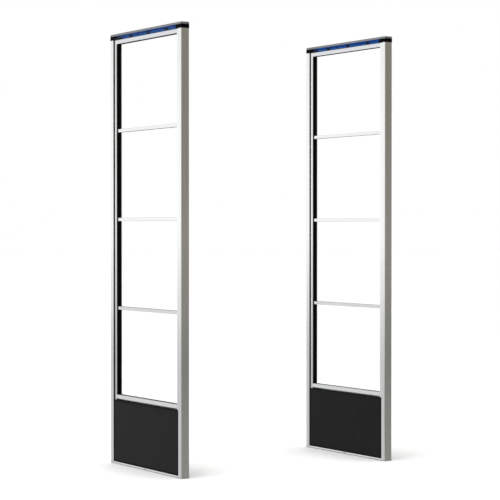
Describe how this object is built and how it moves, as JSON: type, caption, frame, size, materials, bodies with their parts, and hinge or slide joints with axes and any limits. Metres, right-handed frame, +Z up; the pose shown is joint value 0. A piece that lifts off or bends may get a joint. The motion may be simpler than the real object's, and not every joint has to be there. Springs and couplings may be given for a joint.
{
  "type": "security gate",
  "caption": "Walk-through shop security gate: two open aluminium ladder-frame pedestals with a lamp bar on top and black-covered electronics at the foot.",
  "frame": {"origin": "on the floor, midway between the two pedestals", "axes": "+Z up, X across the aisle from pedestal to pedestal, Y the walking direction; the service covers face -X"},
  "size_m": [0.908, 0.522, 1.58],
  "materials": {
    "post_aluminium": "satin anodised, faint vertical extrusion lines",
    "bright_aluminium": "satin anodised",
    "insert_black": "matt",
    "sill_aluminium": "brushed",
    "base_steel": "grey powder coat",
    "cap_grey": "satin",
    "block_black": "semi-gloss",
    "lens_blue": "translucent blue, satin",
    "lamp_board_white": "white solder mask",
    "lamp_holder_black": "matt",
    "cover_black": "fine grained",
    "gasket_black": "matt",
    "chassis_zinc": "zinc plated",
    "board_green": "solder mask",
    "pillar_brass": "turned",
    "antenna_sleeve": "insulated stranded wire",
    "capacitor_black": "heat-shrink sleeve",
    "chip_black": "moulded",
    "can_metal": "tinned",
    "terminal_green": "moulded",
    "housing_grey": "moulded",
    "knob_white": "moulded",
    "rotor_brass": "turned",
    "rocker_red": "moulded",
    "button_dark": "moulded",
    "screw_steel": "zinc plated",
    "plug_nylon": "moulded"
  },
  "bodies": {
    "gate": {"antenna_loops": "antenna_sleeve", "capacitors": "capacitor_black", "chips": "chip_black", "control_housings": "housing_grey", "cover_gaskets": "gasket_black", "frame_screws": "screw_steel", "lamp_boards": "lamp_board_white", "lamp_holders": "lamp_holder_black", "left_back_cover": "cover_black", "left_base_plate": "base_steel", "left_chassis_plate": "chassis_zinc", "left_cover_rail": "bright_aluminium", "left_crossbar_lower": "bright_aluminium", "left_crossbar_middle": "bright_aluminium", "left_crossbar_upper": "bright_aluminium", "left_end_blocks": "block_black", "left_front_channel": "bright_aluminium", "left_front_insert": "insert_black", "left_front_post": "post_aluminium", "left_lamp_lens": "lens_blue", "left_main_board": "board_green", "left_rear_channel": "bright_aluminium", "left_rear_insert": "insert_black", "left_rear_post": "post_aluminium", "left_sill_rails": "sill_aluminium", "left_top_cap": "cap_grey", "left_top_rail": "bright_aluminium", "metal_cans": "can_metal", "pillars": "pillar_brass", "rail_plugs": "plug_nylon", "right_back_cover": "cover_black", "right_base_plate": "base_steel", "right_chassis_plate": "chassis_zinc", "right_cover_rail": "bright_aluminium", "right_crossbar_lower": "bright_aluminium", "right_crossbar_middle": "bright_aluminium", "right_crossbar_upper": "bright_aluminium", "right_end_blocks": "block_black", "right_front_channel": "bright_aluminium", "right_front_insert": "insert_black", "right_front_post": "post_aluminium", "right_lamp_lens": "lens_blue", "right_main_board": "board_green", "right_rear_channel": "bright_aluminium", "right_rear_insert": "insert_black", "right_rear_post": "post_aluminium", "right_sill_rails": "sill_aluminium", "right_top_cap": "cap_grey", "right_top_rail": "bright_aluminium", "terminal_blocks": "terminal_green"},
    "left_service_cover": {"left_service_cover": "cover_black"},
    "left_sensitivity_knob": {"left_sensitivity_knob": "knob_white"},
    "left_tuning_rotor": {"left_tuning_rotor": "rotor_brass"},
    "left_power_rocker": {"left_power_rocker": "rocker_red"},
    "left_test_button": {"left_test_button": "button_dark"},
    "right_service_cover": {"right_service_cover": "cover_black"},
    "right_sensitivity_knob": {"right_sensitivity_knob": "knob_white"},
    "right_tuning_rotor": {"right_tuning_rotor": "rotor_brass"},
    "right_power_rocker": {"right_power_rocker": "rocker_red"},
    "right_test_button": {"right_test_button": "button_dark"}
  },
  "joints": [
    {"name": "left_cover_pull", "type": "slide", "parent": "gate", "child": "left_service_cover", "axis": [-1, 0, 0], "range_m": [0, 0.12]},
    {"name": "left_knob_turn", "type": "hinge", "parent": "gate", "child": "left_sensitivity_knob", "pos_m": [-0.4391, -0.018, 0.111], "axis": [-1, 0, 0], "range_deg": [-135, 135]},
    {"name": "left_rotor_turn", "type": "hinge", "parent": "gate", "child": "left_tuning_rotor", "pos_m": [-0.4377, -0.074, 0.137], "axis": [-1, 0, 0], "range_deg": [-90, 90]},
    {"name": "left_rocker_tip", "type": "hinge", "parent": "gate", "child": "left_power_rocker", "pos_m": [-0.4409, 0.07, 0.113], "axis": [0, -1, 0], "range_deg": [0, 16]},
    {"name": "left_button_press", "type": "slide", "parent": "gate", "child": "left_test_button", "axis": [1, 0, 0], "range_m": [0, 0.001], "stiffness_N_per_m": 200, "springref_m": -0.001},
    {"name": "right_cover_pull", "type": "slide", "parent": "gate", "child": "right_service_cover", "axis": [-1, 0, 0], "range_m": [0, 0.12]},
    {"name": "right_knob_turn", "type": "hinge", "parent": "gate", "child": "right_sensitivity_knob", "pos_m": [0.4349, -0.018, 0.111], "axis": [-1, 0, 0], "range_deg": [-135, 135]},
    {"name": "right_rotor_turn", "type": "hinge", "parent": "gate", "child": "right_tuning_rotor", "pos_m": [0.4363, -0.074, 0.137], "axis": [-1, 0, 0], "range_deg": [-90, 90]},
    {"name": "right_rocker_tip", "type": "hinge", "parent": "gate", "child": "right_power_rocker", "pos_m": [0.4331, 0.07, 0.113], "axis": [0, -1, 0], "range_deg": [0, 16]},
    {"name": "right_button_press", "type": "slide", "parent": "gate", "child": "right_test_button", "axis": [1, 0, 0], "range_m": [0, 0.001], "stiffness_N_per_m": 200, "springref_m": -0.001}
  ]
}
